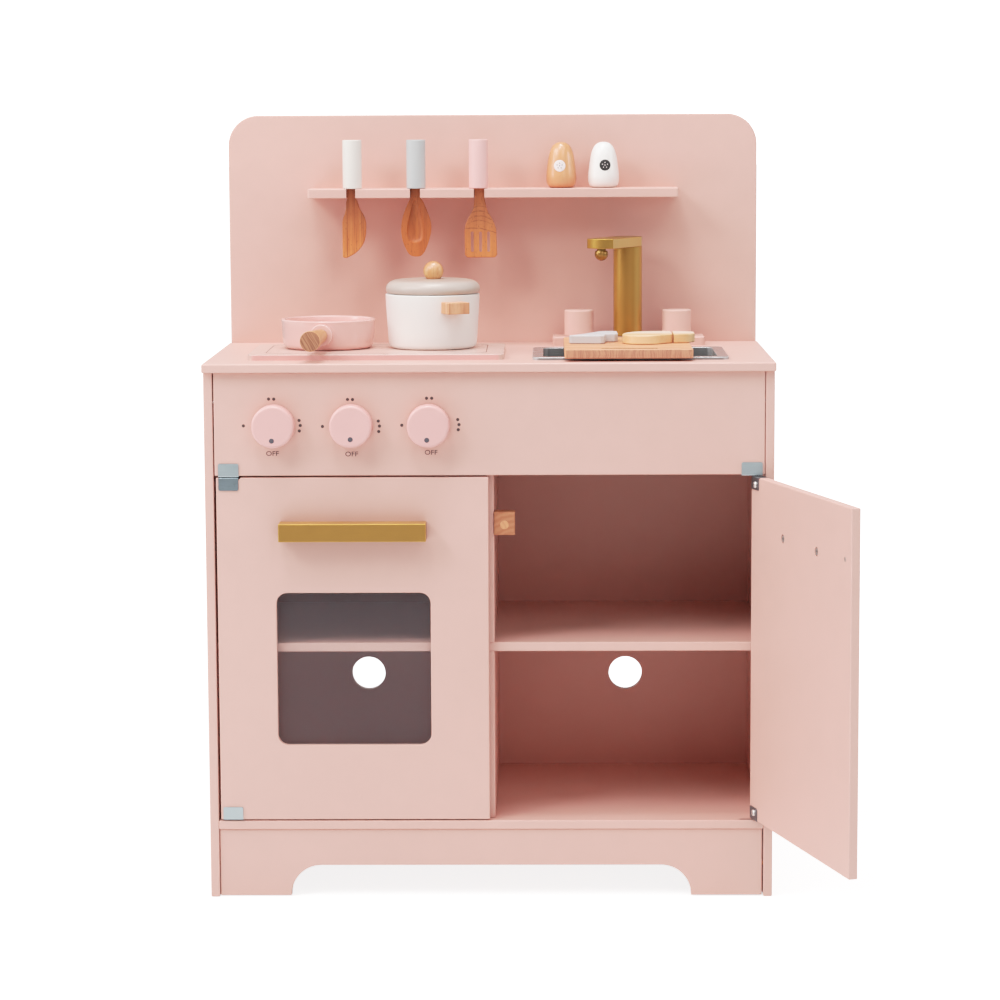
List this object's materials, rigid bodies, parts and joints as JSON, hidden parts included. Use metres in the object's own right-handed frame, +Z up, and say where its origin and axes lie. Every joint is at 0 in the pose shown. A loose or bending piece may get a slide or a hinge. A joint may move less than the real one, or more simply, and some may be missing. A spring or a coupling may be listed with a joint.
{
  "type": "play kitchen",
  "caption": "Freestanding wooden play kitchen: oven and cupboard with pin-hinged doors, turning cooker knobs, swivelling tap, sink, utensil shelf, and loose pot, pan, utensils and board.",
  "frame": {"origin": "on the floor, at the centre of the overall box with the cupboard door standing open, 34 mm right of the cabinet's middle and 284 mm in front of its rear face", "axes": "+Z up, +Y out of the rear face towards the wall, -Y the front, +X to the right seen from the front"},
  "size_m": [0.6684, 0.5676, 0.827],
  "materials": {
    "pink_paint": "satin pink paint on fibreboard",
    "beech": "oiled beech",
    "gold_paint": "satin metallic gold paint on wood",
    "zinc_steel": "zinc-plated pressed steel",
    "clear_acrylic": "clear acrylic",
    "sink_grey": "moulded grey plastic",
    "white_paint": "satin white paint on wood",
    "warm_grey_paint": "satin warm grey paint on wood",
    "grey_paint": "satin pale grey paint on wood",
    "pale_pink_paint": "satin pale pink paint on wood",
    "pale_wood": "lacquered pale wood",
    "screw_steel": "zinc-plated steel",
    "play_food_grey": "pale grey paint on wood"
  },
  "bodies": {
    "cabinet": {"left_side_panel": "pink_paint", "right_side_panel": "pink_paint", "bottom_board": "pink_paint", "front_apron": "pink_paint", "divider_panel": "pink_paint", "middle_shelf": "pink_paint", "fascia_panel": "pink_paint", "countertop": "pink_paint", "back_panel": "pink_paint", "backboard": "pink_paint", "utensil_shelf": "pink_paint", "hob_plate": "pink_paint", "sink_basin": "sink_grey", "faucet_base": "pink_paint", "hinge_brackets": "zinc_steel", "hinge_pins": "zinc_steel", "catch_blocks": "beech", "catch_plugs": "beech", "panel_dowels": "beech", "side_screws": "screw_steel", "back_screws": "screw_steel"},
    "left_door": {"left_door_panel": "pink_paint", "window_pane": "clear_acrylic", "window_retainer": "pink_paint", "left_door_handle": "gold_paint", "left_door_clips": "zinc_steel", "left_door_screws": "screw_steel"},
    "right_door": {"right_door_panel": "pink_paint", "right_door_handle": "gold_paint", "right_door_clips": "zinc_steel", "right_door_screws": "screw_steel"},
    "knob_1": {"cooker_knob_1": "pink_paint", "knob_spindle_1": "screw_steel"},
    "knob_2": {"cooker_knob_2": "pink_paint", "knob_spindle_2": "screw_steel"},
    "knob_3": {"cooker_knob_3": "pink_paint", "knob_spindle_3": "screw_steel"},
    "faucet": {"faucet_column": "gold_paint", "faucet_arm": "gold_paint", "faucet_nozzle": "gold_paint"},
    "tap_left": {"tap_left_knob": "pink_paint"},
    "tap_right": {"tap_right_knob": "pink_paint"},
    "pot": {"pot_body": "white_paint", "pot_handles": "beech"},
    "lid": {"pot_lid": "warm_grey_paint", "lid_knob": "pale_wood"},
    "pan": {"pan_body": "pink_paint", "pan_handle": "beech"},
    "knife": {"knife_handle": "white_paint", "knife_blade": "beech"},
    "spoon": {"spoon_handle": "grey_paint", "spoon_bowl": "beech"},
    "spatula": {"spatula_handle": "pale_pink_paint", "spatula_blade": "beech"},
    "salt": {"salt_shaker": "pale_wood"},
    "pepper": {"pepper_shaker": "white_paint"},
    "board": {"cutting_board": "beech"},
    "food_slice": {"toy_food_slice": "play_food_grey"},
    "fish": {"toy_fish": "pale_wood"}
  },
  "joints": [
    {"name": "left_door_hinge", "type": "hinge", "parent": "cabinet", "child": "left_door", "pos_m": [-0.31566, -0.01295, 0.25], "axis": [0, 0, -1], "range_deg": [0, 108]},
    {"name": "right_door_hinge", "type": "hinge", "parent": "cabinet", "child": "right_door", "pos_m": [0.24734, -0.01295, 0.25], "axis": [0, 0, 1], "range_deg": [-106, 2]},
    {"name": "knob_1_turn", "type": "hinge", "parent": "cabinet", "child": "knob_1", "pos_m": [-0.25936, -0.0177, 0.5056], "axis": [0, 1, 0], "range_deg": [0, 270]},
    {"name": "knob_2_turn", "type": "hinge", "parent": "cabinet", "child": "knob_2", "pos_m": [-0.17816, -0.0177, 0.5056], "axis": [0, 1, 0], "range_deg": [0, 270]},
    {"name": "knob_3_turn", "type": "hinge", "parent": "cabinet", "child": "knob_3", "pos_m": [-0.09716, -0.0177, 0.5056], "axis": [0, 1, 0], "range_deg": [0, 270]},
    {"name": "faucet_swivel", "type": "hinge", "parent": "cabinet", "child": "faucet", "pos_m": [0.11744, 0.2353, 0.6], "axis": [0, 0, 1], "range_deg": [-63, 117]},
    {"name": "tap_left_turn", "type": "hinge", "parent": "cabinet", "child": "tap_left", "pos_m": [0.06284, 0.2353, 0.59], "axis": [0, 0, 1], "range_deg": [-90, 90]},
    {"name": "tap_right_turn", "type": "hinge", "parent": "cabinet", "child": "tap_right", "pos_m": [0.17224, 0.2353, 0.59], "axis": [0, 0, 1], "range_deg": [-90, 90]},
    {"name": "pot_lift", "type": "slide", "parent": "cabinet", "child": "pot", "axis": [0, 0, 1], "range_m": [0, 0.2]},
    {"name": "lid_lift", "type": "slide", "parent": "pot", "child": "lid", "axis": [0, 0, 1], "range_m": [0, 0.12]},
    {"name": "pan_lift", "type": "slide", "parent": "cabinet", "child": "pan", "axis": [0, 0, 1], "range_m": [0, 0.15]},
    {"name": "knife_out", "type": "slide", "parent": "cabinet", "child": "knife", "axis": [0, -1, 0], "range_m": [0, 0.035]},
    {"name": "spoon_out", "type": "slide", "parent": "cabinet", "child": "spoon", "axis": [0, -1, 0], "range_m": [0, 0.035]},
    {"name": "spatula_out", "type": "slide", "parent": "cabinet", "child": "spatula", "axis": [0, -1, 0], "range_m": [0, 0.035]},
    {"name": "salt_lift", "type": "slide", "parent": "cabinet", "child": "salt", "axis": [0, 0, 1], "range_m": [0, 0.1]},
    {"name": "pepper_lift", "type": "slide", "parent": "cabinet", "child": "pepper", "axis": [0, 0, 1], "range_m": [0, 0.1]},
    {"name": "board_lift", "type": "slide", "parent": "cabinet", "child": "board", "axis": [0, 0, 1], "range_m": [0, 0.08]},
    {"name": "food_slice_lift", "type": "slide", "parent": "board", "child": "food_slice", "axis": [0, 0, 1], "range_m": [0, 0.06]},
    {"name": "fish_lift", "type": "slide", "parent": "board", "child": "fish", "axis": [0, 0, 1], "range_m": [0, 0.06]}
  ]
}
